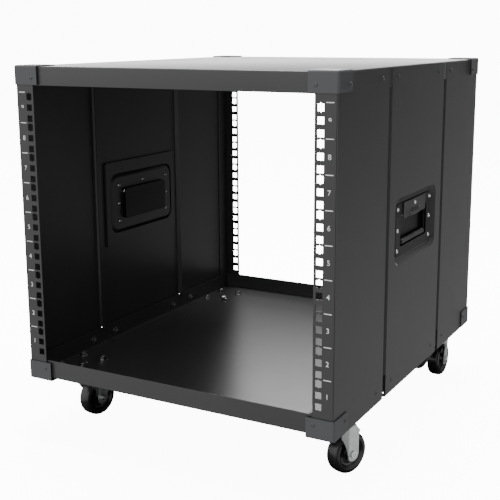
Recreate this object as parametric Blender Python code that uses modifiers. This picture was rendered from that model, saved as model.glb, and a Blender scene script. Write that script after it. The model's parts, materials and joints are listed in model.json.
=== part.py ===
"""Nine-unit rolling equipment rack case, in metres, +Z up.

The front faces -Y and the origin is on the floor, under the middle of the rack.
Folded sheet steel: a base tray and a lid joined by four punched 19-inch rails,
three side panels to a side, eight corner caps, two recessed carrying handles
and four swivel casters, the rear two with a foot brake.
"""

import math

import bmesh
import bpy
from mathutils import Matrix, Vector

MM = 0.001
GAP = 0.3 * MM

# Overall size, over the corner caps
WIDTH = 515 * MM
DEPTH = 600 * MM
HEIGHT = 568 * MM
BODY_BOTTOM = 89.8 * MM

# The 19-inch rack standard
UNITS = 9
UNIT = 44.45 * MM
UNIT_ONE_BOTTOM = 129 * MM
HOLE_COLUMN_X = 465.12 / 2 * MM
HOLE_HEIGHTS = (6.35 * MM, 22.225 * MM, 38.1 * MM)
HOLE_HALF = 4.75 * MM
NOTCH_TIP = 6.6 * MM
NOTCH_HALF = 1.9 * MM

# Sheet metal
SHEET = 1.2 * MM
RAIL_SHEET = 1.5 * MM
CAP_SHEET = 1.4 * MM

# Corner caps
CAP_SIDE = 42 * MM
CAP_HEIGHT_TOP = 28 * MM
CAP_HEIGHT_BOTTOM = 29.2 * MM
CAP_ROUND = 2.5 * MM

# Side panels: outer face, and the two seams of each side
PANEL_X = 255.5 * MM
PANEL_END_Y = 297.8 * MM
PANEL_BOTTOM = 89.4 * MM
PANEL_NOTCH_TOP = 92 * MM
PANEL_NOTCH_Y = 257.5 * MM
SEAM_Y = 120 * MM
SEAM_HALF = 6 * MM
SEAM_DEPTH = 6 * MM
SEAM_LAP = 7 * MM
SEAM_SLANT = 4 * MM
SEAM_REACH = 5 * MM

# Rails
RAIL_OUTER_X = 254 * MM
RAIL_INNER_X = 224.5 * MM
RAIL_FACE_Y = 298.3 * MM
RAIL_LEG = 30 * MM
RAIL_BOTTOM = 92.6 * MM
JOGGLE = 0.4 * MM

# Tray and lid
TRAY_X = 252.2 * MM
TRAY_Y = 296.5 * MM
TRAY_BOTTOM = 94.5 * MM
TRAY_LIP_TOP = 122 * MM
LID_TOP = 566.3 * MM
LID_EDGE_X = 255.3 * MM
LID_EDGE_Y = 296.8 * MM
LID_LIP_BOTTOM = 539.5 * MM

# Handle pocket, pressed into the middle side panel
HANDLE_Z = 328 * MM
POCKET_HALF_Y = 90 * MM
POCKET_HALF_Z = 50 * MM
POCKET_DEPTH = 5.5 * MM
POCKET_DRAFT = 6 * MM
POCKET_ROUND = 16 * MM

# Handle dish, riveted into the pocket, and its hollow
DISH_HALF_Y = 77 * MM
DISH_HALF_Z = 39.5 * MM
DISH_ROUND = 8 * MM
HOLLOW_HALF_Y = 58 * MM
HOLLOW_HALF_Z = 24.5 * MM
HOLLOW_DROP = 1.5 * MM
HOLLOW_DEPTH = 7.7 * MM
HOLLOW_ROUND = 4 * MM

# Handle bail, which turns on a pin along Y near the top of the hollow
HINGE_Z = 347.5 * MM
HINGE_X = 246.9 * MM
PIN_RADIUS = 1.5 * MM
EYE_RADIUS = 2.8 * MM
EYE_BORE = 1.8 * MM
ARM_Y = 53.5 * MM
ARM_THICK = 3 * MM
GRIP_Z = 307.5 * MM
GRIP_X = 248.2 * MM
GRIP_RADIUS = 4 * MM
GRIP_HALF = 48 * MM
GRIP_ROD = 2.2 * MM
FLAP_HALF_Y = 48 * MM
FLAP_BOTTOM = 343.5 * MM
FLAP_TOP = 367 * MM
FLAP_BUMP_HALF = 19 * MM
FLAP_BUMP_TOP = 353 * MM
FLAP_BUMP_RISE = 2.2 * MM
SPRING_RADIUS = 2.3 * MM
SPRING_WIRE = 0.45 * MM
SPRING_HALF = 6 * MM
SPRING_TURNS = 5

# Backing plates inside, round the handles' pockets
BACKING_HALF_Y = 102 * MM
BACKING_HALF_Z = 71.5 * MM
BACKING_ROUND = 3 * MM
BACKING_RISE = 3.4 * MM

# Casters: pivots, swivel angle of each trail direction from +X, and sizes
CASTER_X = 218.5 * MM
CASTER_Y = 220 * MM
TRAIL = 28.3 * MM
SWIVEL_DEGREES = {
    "front_left": 81,
    "front_right": 68,
    "rear_left": 78,
    "rear_right": 88,
}
BRAKED = ("rear_left", "rear_right")
WHEEL_RADIUS = 31 * MM
WHEEL_HALF = 11 * MM
WHEEL_BORE = 3.5 * MM
AXLE_RADIUS = 3 * MM
AXLE_HEAD = 5 * MM
LEG_INNER = 12 * MM
LEG_SHEET = 1.9 * MM
LEG_FOLD = 19.6 * MM
LEG_TRAILING = 39.5 * MM
LEG_TIP_RADIUS = 11 * MM
WING_FLARE = math.radians(24)
CROWN_RADIUS = 24.5 * MM
CROWN_LOW = 71 * MM
CROWN_HIGH = 80.5 * MM
RACE_RADIUS = 22 * MM
RACE_LOW = 81.2 * MM
PLATE_HALF_X = 28 * MM
PLATE_HALF_Y = 34 * MM
PLATE_SHEET = 2.5 * MM
KINGPIN_RADIUS = 5 * MM
KINGPIN_HEAD = 8 * MM
BOLT_HALF_X = 20 * MM
BOLT_HALF_Y = 26.75 * MM
BOLT_RADIUS = 3 * MM
NUT_RADIUS = 5.8 * MM
NUT_HEIGHT = 4.5 * MM

# Brake pedal
BRAKE_PIN_S = 2 * MM
BRAKE_PIN_Z = 64.5 * MM
BRAKE_TIP_S = -78 * MM
BRAKE_TIP_Z = 44.5 * MM
BRAKE_HALF = 8.5 * MM
BRAKE_SHEET = 3 * MM
BRAKE_BARREL = 2.6 * MM
BRAKE_BARREL_HALF = 18.6 * MM
BRAKE_STUB = 1.5 * MM
BRAKE_STUB_HALF = 23.6 * MM
BRAKE_SHOE_DROP = 12.5 * MM

SIDES = {"left": -1, "right": 1}
ENDS = {"front": -1, "rear": 1}


def clear_scene():
    """Removes every object of the scene."""
    for thing in list(bpy.data.objects):
        bpy.data.objects.remove(thing, do_unlink=True)


def collection(name):
    """Returns a new collection under the scene's own."""
    made = bpy.data.collections.new(name)
    bpy.context.scene.collection.children.link(made)
    return made


def material(name, colour, roughness, metallic):
    """Returns a Principled BSDF material."""
    made = bpy.data.materials.new(name)
    made.use_nodes = True
    shader = made.node_tree.nodes["Principled BSDF"]
    shader.inputs["Base Color"].default_value = (*colour, 1)
    shader.inputs["Roughness"].default_value = roughness
    shader.inputs["Metallic"].default_value = metallic
    return made


clear_scene()
PARTS = collection("equipment_rack_case")
CUTTERS = collection("cutters")
BLACK = material("black_powder_coat", (0.035, 0.036, 0.038), 0.42, 0.0)
DARK = material("black_handle_coat", (0.02, 0.02, 0.021), 0.38, 0.0)
ZINC = material("zinc_plate", (0.55, 0.57, 0.56), 0.36, 1.0)
STEEL = material("bright_steel", (0.72, 0.73, 0.74), 0.22, 1.0)
SPRING_STEEL = material("spring_steel", (0.38, 0.38, 0.39), 0.3, 1.0)
WHEEL = material("wheel_plastic", (0.012, 0.012, 0.013), 0.22, 0.0)
RUBBER = material("grip_rubber", (0.018, 0.018, 0.018), 0.6, 0.0)
PEDAL = material("pedal_plastic", (0.014, 0.014, 0.014), 0.4, 0.0)


# ---------------------------------------------------------------- mesh tools


def node(name, bm, surface, parent=None):
    """Makes a named object from a bmesh and puts it in the parts' collection."""
    bm.normal_update()
    mesh = bpy.data.meshes.new(name)
    bm.to_mesh(mesh)
    bm.free()
    mesh.materials.append(surface)
    made = bpy.data.objects.new(name, mesh)
    PARTS.objects.link(made)
    made.parent = parent
    return made


def cutter(name, bm, parent=None):
    """Makes a hidden operand for a Boolean."""
    made = node(name, bm, BLACK, parent)
    PARTS.objects.unlink(made)
    CUTTERS.objects.link(made)
    made.hide_render = True
    made.display_type = "WIRE"
    return made


def boolean(target, operand, operation):
    """Joins the operand to the target, or cuts it out."""
    step = target.modifiers.new(operand.name, "BOOLEAN")
    step.operation = operation
    step.solver = "EXACT"
    step.object = operand
    return step


def solidify(target, thickness, offset=-1):
    """Gives an open sheet its thickness, behind its faces."""
    step = target.modifiers.new("sheet", "SOLIDIFY")
    step.thickness = thickness
    step.offset = offset
    step.use_even_offset = True
    return step


def smooth(target, degrees=35):
    """Shades a round piece smooth, with sharp edges above an angle."""
    target.data.shade_smooth()
    target.data.set_sharp_from_angle(angle=math.radians(degrees))


def add_box(bm, low, high):
    """Adds a box between two corners."""
    made = bmesh.ops.create_cube(bm, size=1)["verts"]
    size = [b - a for a, b in zip(low, high)]
    middle = [(a + b) / 2 for a, b in zip(low, high)]
    bmesh.ops.scale(bm, vec=size, verts=made)
    bmesh.ops.translate(bm, vec=middle, verts=made)
    return made


def add_cylinder(bm, radius, low, high, centre=(0, 0), sides=24, axis="Z"):
    """Adds a closed cylinder along Z or Y; low, high are along its axis."""
    made = bmesh.ops.create_cone(
        bm, cap_ends=True, segments=sides, radius1=radius, radius2=radius,
        depth=high - low,
    )["verts"]
    bmesh.ops.translate(bm, vec=(0, 0, (low + high) / 2), verts=made)
    if axis == "Y":
        turn = Matrix.Rotation(-math.pi / 2, 4, "X")
        bmesh.ops.transform(bm, matrix=turn, verts=made)
        bmesh.ops.translate(bm, vec=(centre[0], 0, centre[1]), verts=made)
    else:
        bmesh.ops.translate(bm, vec=(*centre, 0), verts=made)
    return made


def turned(name, profile, surface, parent=None, sides=28):
    """A body turned about local Z from a closed profile of (radius, height)."""
    bm = bmesh.new()
    ring = [bm.verts.new((r, 0, z)) for r, z in profile]
    for a, b in zip(ring, ring[1:] + ring[:1]):
        bm.edges.new((a, b))
    made = node(name, bm, surface, parent)
    step = made.modifiers.new("turn", "SCREW")
    step.steps = sides
    step.render_steps = sides
    step.use_merge_vertices = True
    step.merge_threshold = 0.00001
    step.use_normal_calculate = True
    return made


def pin_profile(shaft, head, low, high, head_height):
    """The half outline of a pin with a head at each end, from axis to axis."""
    return [
        (0, high + head_height),
        (head * 0.7, high + head_height),
        (head, high + head_height * 0.45),
        (head, high),
        (shaft, high),
        (shaft, low),
        (head, low),
        (head, low - head_height * 0.45),
        (head * 0.7, low - head_height),
        (0, low - head_height),
    ]


def turned_pin(name, profile, surface, parent=None, sides=16):
    """A pin turned about local Z from an outline that starts and ends on it."""
    bm = bmesh.new()
    line = [bm.verts.new((r, 0, z)) for r, z in profile]
    for a, b in zip(line, line[1:]):
        bm.edges.new((a, b))
    made = node(name, bm, surface, parent)
    step = made.modifiers.new("turn", "SCREW")
    step.steps = sides
    step.render_steps = sides
    step.use_merge_vertices = True
    step.merge_threshold = 0.00001
    return made


def folded_sheet(name, path, levels, keep, surface):
    """A sheet folded along a plan path and raised through levels of height.

    keep(segment, band) says which rectangle of the sheet is there.
    """
    bm = bmesh.new()
    line = [bm.verts.new((x, y, levels[0])) for x, y in path]
    edges = [bm.edges.new((a, b)) for a, b in zip(line, line[1:])]
    bm.verts.index_update()
    for low, high in zip(levels, levels[1:]):
        grown = bmesh.ops.extrude_edge_only(bm, edges=edges)["geom"]
        points = [g for g in grown if isinstance(g, bmesh.types.BMVert)]
        bmesh.ops.translate(bm, vec=(0, 0, high - low), verts=points)
        edges = [
            g for g in grown
            if isinstance(g, bmesh.types.BMEdge)
            and all(abs(v.co.z - high) < 1e-7 for v in g.verts)
        ]
    gone = []
    for face in bm.faces:
        middle = face.calc_center_median()
        segment = nearest_segment(path, middle)
        band = sum(middle.z > level for level in levels) - 1
        if not keep(segment, band):
            gone.append(face)
    bmesh.ops.delete(bm, geom=gone, context="FACES")
    return node(name, bm, surface)


def nearest_segment(path, point):
    """The number of the path's segment whose middle is nearest the point."""
    def reach(i):
        (ax, ay), (bx, by) = path[i], path[i + 1]
        return math.hypot((ax + bx) / 2 - point.x, (ay + by) / 2 - point.y)

    return min(range(len(path) - 1), key=reach)


def rounded_loop(half_y, half_z, radius, steps=3):
    """The corners of a rounded rectangle in the YZ plane, about its middle."""
    points = []
    corners = ((1, 1, 0), (-1, 1, 90), (-1, -1, 180), (1, -1, 270))
    for sy, sz, start in corners:
        for k in range(steps + 1):
            angle = math.radians(start + 90 * k / steps)
            points.append((
                sy * (half_y - radius) + radius * math.cos(angle),
                sz * (half_z - radius) + radius * math.sin(angle),
            ))
    return points


def add_loop(bm, points, x, centre_z):
    """Adds a closed ring of edges in a plane of constant x."""
    ring = [bm.verts.new((x, y, z + centre_z)) for y, z in points]
    edges = [bm.edges.new((a, b)) for a, b in zip(ring, ring[1:] + ring[:1])]
    return ring, edges


def grow_loop(bm, ring, edges, points, x, centre_z):
    """Extrudes a ring of edges onto a new ring with as many points."""
    grown = bmesh.ops.extrude_edge_only(bm, edges=edges)["geom"]
    points_new = [g for g in grown if isinstance(g, bmesh.types.BMVert)]
    new_ring = []
    for old in ring:
        twin = min(points_new, key=lambda v: (v.co - old.co).length)
        new_ring.append(twin)
    for vert, (y, z) in zip(new_ring, points):
        vert.co = (x, y, z + centre_z)
    fresh = set(new_ring)
    new_edges = [
        g for g in grown
        if isinstance(g, bmesh.types.BMEdge) and set(g.verts) <= fresh
    ]
    return new_ring, new_edges


def mirror_x(bm):
    """Turns a right-hand shape into a left-hand one, faces still outward."""
    bmesh.ops.scale(bm, vec=(-1, 1, 1), verts=bm.verts[:])
    bmesh.ops.reverse_faces(bm, faces=bm.faces[:])


# ------------------------------------------------------------------- chassis


def bolt_places():
    """The plan positions of the caster bolts, sixteen in all."""
    for x, y in caster_places().values():
        for sx in (-1, 1):
            for sy in (-1, 1):
                yield x + sx * BOLT_HALF_X, y + sy * BOLT_HALF_Y


def caster_places():
    """The plan position of each caster's swivel axis."""
    places = {}
    for end, sy in ENDS.items():
        for side, sx in SIDES.items():
            places[end + "_" + side] = (sx * CASTER_X, sy * CASTER_Y)
    return places


def base_tray():
    """The folded base: a floor with four lips, drilled for the casters."""
    bm = bmesh.new()
    add_box(bm, (-TRAY_X, -TRAY_Y, TRAY_BOTTOM), (TRAY_X, TRAY_Y, TRAY_LIP_TOP))
    top = [f for f in bm.faces if f.calc_center_median().z > TRAY_LIP_TOP - MM]
    bmesh.ops.delete(bm, geom=top, context="FACES")
    tray = node("base_tray", bm, BLACK)
    solidify(tray, SHEET)
    bm = bmesh.new()
    low, high = TRAY_BOTTOM - 2 * MM, TRAY_BOTTOM + 4 * MM
    for place in bolt_places():
        add_cylinder(bm, BOLT_RADIUS + 0.5 * MM, low, high, place, 10)
    for place in caster_places().values():
        add_cylinder(bm, KINGPIN_HEAD + MM, low, high, place, 16)
    boolean(tray, cutter("tray_holes", bm), "DIFFERENCE")
    return tray


def top_panel():
    """The lid: a flat top over the side panels, with four lips inside them."""
    bm = bmesh.new()
    low = (-LID_EDGE_X, -LID_EDGE_Y, LID_TOP - SHEET)
    add_box(bm, low, (LID_EDGE_X, LID_EDGE_Y, LID_TOP))
    lid = node("top_panel", bm, BLACK)
    bm = bmesh.new()
    high = (TRAY_X, TRAY_Y, LID_TOP - SHEET / 2)
    add_box(bm, (-TRAY_X, -TRAY_Y, LID_LIP_BOTTOM), high)
    flat = [f for f in bm.faces if abs(f.normal.z) > 0.5]
    bmesh.ops.delete(bm, geom=flat, context="FACES")
    lips = cutter("lid_lips", bm)
    solidify(lips, SHEET)
    boolean(lid, lips, "UNION")
    return lid


def notched_outline():
    """The rack hole with a V notch above and below, about its middle."""
    h = HOLE_HALF
    upper = [(h, h), (NOTCH_HALF, h), (0, NOTCH_TIP), (-NOTCH_HALF, h), (-h, h)]
    lower = [(-x, -z) for x, z in upper]
    return upper + lower


def rail_holes(sx, sy):
    """All 27 mounting holes of one rail, as one cutter."""
    bm = bmesh.new()
    near, far = sy * (RAIL_FACE_Y - 4 * MM), sy * (RAIL_FACE_Y + 3 * MM)
    low_y, high_y = min(near, far), max(near, far)
    for unit in range(UNITS):
        base = UNIT_ONE_BOTTOM + unit * UNIT
        for height in HOLE_HEIGHTS[:2]:
            x, z = sx * HOLE_COLUMN_X, base + height
            low = (x - HOLE_HALF, low_y, z - HOLE_HALF)
            add_box(bm, low, (x + HOLE_HALF, high_y, z + HOLE_HALF))
        add_notched(bm, sx * HOLE_COLUMN_X, base + HOLE_HEIGHTS[2], low_y, high_y)
    return cutter("holes", bm)


def add_notched(bm, x, z, low_y, high_y):
    """Adds one notched prism along Y."""
    ring = [bm.verts.new((x + a, high_y, z + b)) for a, b in notched_outline()]
    face = bm.faces.new(ring)
    grown = bmesh.ops.extrude_face_region(bm, geom=[face])["geom"]
    moved = [g for g in grown if isinstance(g, bmesh.types.BMVert)]
    bmesh.ops.translate(bm, vec=(0, low_y - high_y, 0), verts=moved)
    bmesh.ops.recalc_face_normals(bm, faces=bm.faces[:])


def rail(end, side):
    """One punched rack rail: a face and a leg behind its outer edge."""
    sx, sy = SIDES[side], ENDS[end]
    path = [
        (sx * RAIL_OUTER_X, sy * (RAIL_FACE_Y - RAIL_LEG)),
        (sx * RAIL_OUTER_X, sy * RAIL_FACE_Y),
        (sx * RAIL_INNER_X, sy * RAIL_FACE_Y),
    ]
    levels = [RAIL_BOTTOM, LID_TOP - SHEET - GAP]
    made = folded_sheet(
        "rail_" + end + "_" + side, path, levels, lambda s, b: True, BLACK
    )
    solidify(made, RAIL_SHEET, outward(sx * sy))
    boolean(made, rail_holes(sx, sy), "DIFFERENCE")
    boolean(made, rail_joggles(sx, sy), "DIFFERENCE")
    return made


def rail_joggles(sx, sy):
    """What sets the rail's two ends back, where the corner caps lap over them."""
    bm = bmesh.new()
    ys = sorted((sy * (RAIL_FACE_Y - JOGGLE), sy * (RAIL_FACE_Y + MM)))
    xs = sorted((sx * (RAIL_INNER_X - MM), sx * (RAIL_OUTER_X + MM)))
    cap_low = HEIGHT - CAP_HEIGHT_TOP - JOGGLE
    cap_high = BODY_BOTTOM + CAP_HEIGHT_BOTTOM + JOGGLE
    add_box(bm, (xs[0], ys[0], cap_low), (xs[1], ys[1], HEIGHT))
    add_box(bm, (xs[0], ys[0], RAIL_BOTTOM - MM), (xs[1], ys[1], cap_high))
    return cutter("joggles", bm)


def outward(turn):
    """The Solidify offset that grows a plan sheet towards the rack's inside."""
    return 1 if turn > 0 else -1


def side_panel_end(end, side):
    """A front or rear side panel, with one edge folded inwards."""
    sx, sy = SIDES[side], ENDS[end]
    seam = sy * (SEAM_Y + SEAM_HALF)
    path = [
        (sx * PANEL_X, sy * PANEL_END_Y),
        (sx * PANEL_X, sy * PANEL_NOTCH_Y),
        (sx * PANEL_X, seam),
        (sx * (PANEL_X - SEAM_DEPTH + SHEET), seam - sy * SEAM_SLANT),
    ]
    low, lip, flange, high = panel_levels()
    made = folded_sheet(
        "side_panel_" + side + "_" + end, path,
        [low, PANEL_NOTCH_TOP, lip, flange, high], end_panel_has, BLACK,
    )
    solidify(made, SHEET, -outward(sx * sy))
    return made


def end_panel_has(segment, band):
    """Whether a rectangle of an end panel is there: cap notch, face, fold."""
    if segment == 0:
        return band > 0
    return segment == 1 or band == 2


def panel_levels():
    """Heights of a side panel: its folds run only between the two lips."""
    low = TRAY_LIP_TOP + 0.5 * MM
    high = LID_LIP_BOTTOM - 0.5 * MM
    return [PANEL_BOTTOM, low, high, LID_TOP - SHEET - GAP]


def middle_panel_path():
    """Half of the middle panel's plan, from a lap to the panel's face."""
    lap_x = PANEL_X - SEAM_DEPTH - GAP
    fold = SEAM_Y - SEAM_HALF
    end = fold + SEAM_HALF + SEAM_LAP
    return [(lap_x, end), (lap_x, fold + SEAM_SLANT), (PANEL_X, fold)]


def side_panel_middle(side):
    """The middle side panel: lapped folds at both seams and a pressed pocket."""
    bm = bmesh.new()
    low, _, _, high = panel_levels()
    fold = SEAM_Y - SEAM_HALF
    panel_face(bm, fold, low, high)
    for sy in (-1, 1):
        lap_fold(bm, sy)
    bmesh.ops.remove_doubles(bm, verts=bm.verts[:], dist=1e-6)
    bmesh.ops.recalc_face_normals(bm, faces=bm.faces[:])
    face_out(bm)
    if side == "left":
        mirror_x(bm)
    made = node("side_panel_" + side + "_middle", bm, BLACK)
    solidify(made, SHEET)
    return made


def face_out(bm):
    """Flips every face if the big outer ones point inwards."""
    biggest = max(bm.faces, key=lambda f: f.calc_area())
    if biggest.normal.x < 0:
        bmesh.ops.reverse_faces(bm, faces=bm.faces[:])


def panel_face(bm, half_y, low, high):
    """The panel's flat face with the pocket pressed into it."""
    _, lip, flange, _ = panel_levels()
    stops = (low, seam_tab_top(), lip, flange, high)
    corners = [(half_y, z) for z in stops] + [(-half_y, z) for z in reversed(stops)]
    outer = [bm.verts.new((PANEL_X, y, z)) for y, z in corners]
    rim = [bm.edges.new((a, b)) for a, b in zip(outer, outer[1:] + outer[:1])]
    mouth = rounded_loop(POCKET_HALF_Y, POCKET_HALF_Z, POCKET_ROUND)
    ring, edges = add_loop(bm, mouth, PANEL_X, HANDLE_Z)
    bmesh.ops.triangle_fill(bm, edges=rim + edges, use_beauty=True)
    floor = rounded_loop(
        POCKET_HALF_Y - POCKET_DRAFT, POCKET_HALF_Z - POCKET_DRAFT,
        POCKET_ROUND - POCKET_DRAFT,
    )
    floor_x = PANEL_X - POCKET_DEPTH
    ring, edges = grow_loop(bm, ring, edges, floor, floor_x, HANDLE_Z)
    hole = rounded_loop(
        HOLLOW_HALF_Y + SHEET + 0.6 * MM, HOLLOW_HALF_Z + SHEET + 0.6 * MM,
        HOLLOW_ROUND + SHEET,
    )
    grow_loop(bm, ring, edges, hole, floor_x, HANDLE_Z - HOLLOW_DROP)


def lap_fold(bm, sy):
    """The fold at one seam, which laps behind the next panel's edge."""
    low, lip, flange, _ = panel_levels()
    path = [(x, sy * y) for x, y in middle_panel_path()]
    raise_line(bm, path[1:], (lip, flange))
    raise_line(bm, path[:2], (lip - SEAM_REACH, lip, flange, flange + SEAM_REACH))
    raise_line(bm, path, (low, seam_tab_top()))


def raise_line(bm, path, levels):
    """Adds upright rectangles over a plan line, from level to level."""
    line = [bm.verts.new((x, y, levels[0])) for x, y in path]
    edges = [bm.edges.new((a, b)) for a, b in zip(line, line[1:])]
    for below, above in zip(levels, levels[1:]):
        grown = bmesh.ops.extrude_edge_only(bm, edges=edges)["geom"]
        moved = [g for g in grown if isinstance(g, bmesh.types.BMVert)]
        bmesh.ops.translate(bm, vec=(0, 0, above - below), verts=moved)
        edges = [
            g for g in grown
            if isinstance(g, bmesh.types.BMEdge) and all(v in moved for v in g.verts)
        ]


def seam_tab_top():
    """The top of the short fold that closes the seam under the tray."""
    return TRAY_BOTTOM - GAP


def corner_cap(level, end, side):
    """One cap: three walls that meet at a rounded corner of the case."""
    sx, sy = SIDES[side], ENDS[end]
    up = 1 if level == "top" else -1
    xs = sorted((sx * WIDTH / 2, sx * (WIDTH / 2 - CAP_SIDE)))
    ys = sorted((sy * DEPTH / 2, sy * (DEPTH / 2 - CAP_SIDE)))
    if up > 0:
        zs = (HEIGHT - CAP_HEIGHT_TOP, HEIGHT)
    else:
        zs = (BODY_BOTTOM, BODY_BOTTOM + CAP_HEIGHT_BOTTOM)
    bm = bmesh.new()
    add_box(bm, (xs[0], ys[0], zs[0]), (xs[1], ys[1], zs[1]))
    bm.normal_update()
    inner = [
        f for f in bm.faces
        if f.normal.dot(Vector((sx, sy, up))) < 0
    ]
    bmesh.ops.delete(bm, geom=inner, context="FACES")
    cap = node("corner_cap_" + level + "_" + end + "_" + side, bm, BLACK)
    edge = cap.modifiers.new("round", "BEVEL")
    edge.width = CAP_ROUND
    edge.segments = 2
    edge.limit_method = "ANGLE"
    solidify(cap, CAP_SHEET)
    return cap


# ------------------------------------------------------------------- handles


def handle_dish(side):
    """The dish: a flange riveted into the pocket, round a shallow hollow."""
    bm = bmesh.new()
    face_x = PANEL_X - POCKET_DEPTH + GAP + SHEET
    middle = HANDLE_Z - HOLLOW_DROP
    edge = rounded_loop(DISH_HALF_Y, DISH_HALF_Z, DISH_ROUND)
    ring, edges = add_loop(bm, edge, face_x, HANDLE_Z)
    mouth = rounded_loop(HOLLOW_HALF_Y, HOLLOW_HALF_Z, HOLLOW_ROUND)
    ring, edges = grow_loop(bm, ring, edges, mouth, face_x, middle)
    floor_x = face_x - HOLLOW_DEPTH
    ring, edges = grow_loop(bm, ring, edges, mouth, floor_x, middle)
    bm.faces.new(ring)
    bmesh.ops.recalc_face_normals(bm, faces=bm.faces[:])
    face_out(bm)
    if side == "left":
        mirror_x(bm)
    dish = node("handle_dish_" + side, bm, DARK)
    solidify(dish, SHEET)
    bm = bmesh.new()
    place = (SIDES[side] * HINGE_X, HINGE_Z)
    reach = HOLLOW_HALF_Y + 4 * MM
    add_cylinder(bm, PIN_RADIUS + GAP, -reach, reach, place, 12, "Y")
    boolean(dish, cutter("pin_holes_" + side, bm), "DIFFERENCE")
    return dish


def handle_backing(side):
    """The stiffening plate behind the panel, round the pocket, on low flanges."""
    bm = bmesh.new()
    outer_x = PANEL_X - SHEET - GAP
    edge = rounded_loop(BACKING_HALF_Y, BACKING_HALF_Z, BACKING_ROUND)
    mouth = rounded_loop(
        POCKET_HALF_Y + MM, POCKET_HALF_Z + MM, POCKET_ROUND + MM,
    )
    ring, edges = add_loop(bm, edge, outer_x, HANDLE_Z)
    ring, edges = grow_loop(bm, ring, edges, edge, outer_x - BACKING_RISE, HANDLE_Z)
    grow_loop(bm, ring, edges, mouth, outer_x - BACKING_RISE, HANDLE_Z)
    bmesh.ops.recalc_face_normals(bm, faces=bm.faces[:])
    inward = min(bm.faces, key=lambda f: abs(abs(f.normal.x) - 1))
    if inward.normal.x > 0:
        bmesh.ops.reverse_faces(bm, faces=bm.faces[:])
    if side == "left":
        mirror_x(bm)
    backing = node("handle_backing_" + side, bm, BLACK)
    solidify(backing, SHEET)
    return backing


def handle_flap(side):
    """The cover riveted over the hinge, with a raised middle for the spring."""
    sx = SIDES[side]
    bm = bmesh.new()
    low_x = PANEL_X - POCKET_DEPTH + GAP + SHEET + GAP
    xs = sorted((sx * low_x, sx * (low_x + SHEET)))
    add_box(bm, (xs[0], -FLAP_HALF_Y, FLAP_BOTTOM), (xs[1], FLAP_HALF_Y, FLAP_TOP))
    flap = node("handle_flap_" + side, bm, DARK)
    bm = bmesh.new()
    xs = sorted((sx * (low_x + SHEET / 2), sx * (low_x + FLAP_BUMP_RISE + SHEET)))
    low = (xs[0], -FLAP_BUMP_HALF, FLAP_BOTTOM - 0.4 * MM)
    add_box(bm, low, (xs[1], FLAP_BUMP_HALF, FLAP_BUMP_TOP))
    boolean(flap, cutter("flap_bump_" + side, bm), "UNION")
    bm = bmesh.new()
    xs = sorted((sx * (low_x - MM), sx * (low_x + FLAP_BUMP_RISE)))
    low = (xs[0], SHEET - FLAP_BUMP_HALF, FLAP_BOTTOM - 3 * MM)
    add_box(bm, low, (xs[1], FLAP_BUMP_HALF - SHEET, FLAP_BUMP_TOP - SHEET))
    boolean(flap, cutter("flap_hollow_" + side, bm), "DIFFERENCE")
    return flap


def hinge_empty(side):
    """An empty on the handle's hinge axis."""
    made = bpy.data.objects.new("hinge_" + side, None)
    made.location = (SIDES[side] * HINGE_X, 0, HINGE_Z)
    PARTS.objects.link(made)
    return made


def handle_bail(side, hinge):
    """The bail: two arms with eyes on the pin, and the rod of the grip."""
    sx = SIDES[side]
    drop = GRIP_Z - HINGE_Z
    reach = sx * (GRIP_X - HINGE_X)
    bm = bmesh.new()
    end = ARM_Y + ARM_THICK / 4
    add_cylinder(bm, GRIP_ROD, -end, end, (reach, drop), 12, "Y")
    bail = node("handle_bail_" + side, bm, DARK, hinge)
    for sy, tag in ((-1, "a"), (1, "b")):
        middle = sy * ARM_Y
        low_y, high_y = middle - ARM_THICK / 2, middle + ARM_THICK / 2
        bm = bmesh.new()
        half = EYE_RADIUS * 0.93
        add_box(bm, (-half, low_y, drop - EYE_RADIUS), (half, high_y, 0))
        boolean(bail, cutter("arm_" + side + tag, bm, hinge), "UNION")
        bm = bmesh.new()
        add_cylinder(bm, EYE_RADIUS, low_y - 0.1 * MM, high_y + 0.1 * MM, sides=16, axis="Y")
        boolean(bail, cutter("eye_" + side + tag, bm, hinge), "UNION")
    bm = bmesh.new()
    far = ARM_Y + 2 * ARM_THICK
    add_cylinder(bm, EYE_BORE, -far, far, sides=12, axis="Y")
    boolean(bail, cutter("eye_bore_" + side, bm, hinge), "DIFFERENCE")
    return bail


def handle_grip(side, hinge):
    """The sleeve on the bail's rod."""
    inner = GRIP_ROD + GAP
    profile = [
        (inner, GRIP_HALF), (inner, -GRIP_HALF),
        (GRIP_RADIUS - 0.6 * MM, -GRIP_HALF), (GRIP_RADIUS, -GRIP_HALF + MM),
        (GRIP_RADIUS, GRIP_HALF - MM), (GRIP_RADIUS - 0.6 * MM, GRIP_HALF),
    ]
    grip = turned("handle_grip_" + side, profile, RUBBER, hinge, 16)
    grip.rotation_euler = (math.pi / 2, 0, 0)
    grip.location = (SIDES[side] * (GRIP_X - HINGE_X), 0, GRIP_Z - HINGE_Z)
    smooth(grip)
    return grip


def handle_pin(side):
    """The hinge pin through the dish's walls, with riveted ends."""
    reach = HOLLOW_HALF_Y + SHEET + GAP
    profile = pin_profile(PIN_RADIUS, PIN_RADIUS + 0.45 * MM, -reach, reach, 0.8 * MM)
    pin = turned_pin("handle_pin_" + side, profile, STEEL, None, 12)
    pin.rotation_euler = (math.pi / 2, 0, 0)
    pin.location = (SIDES[side] * HINGE_X, 0, HINGE_Z)
    smooth(pin)
    return pin


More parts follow.
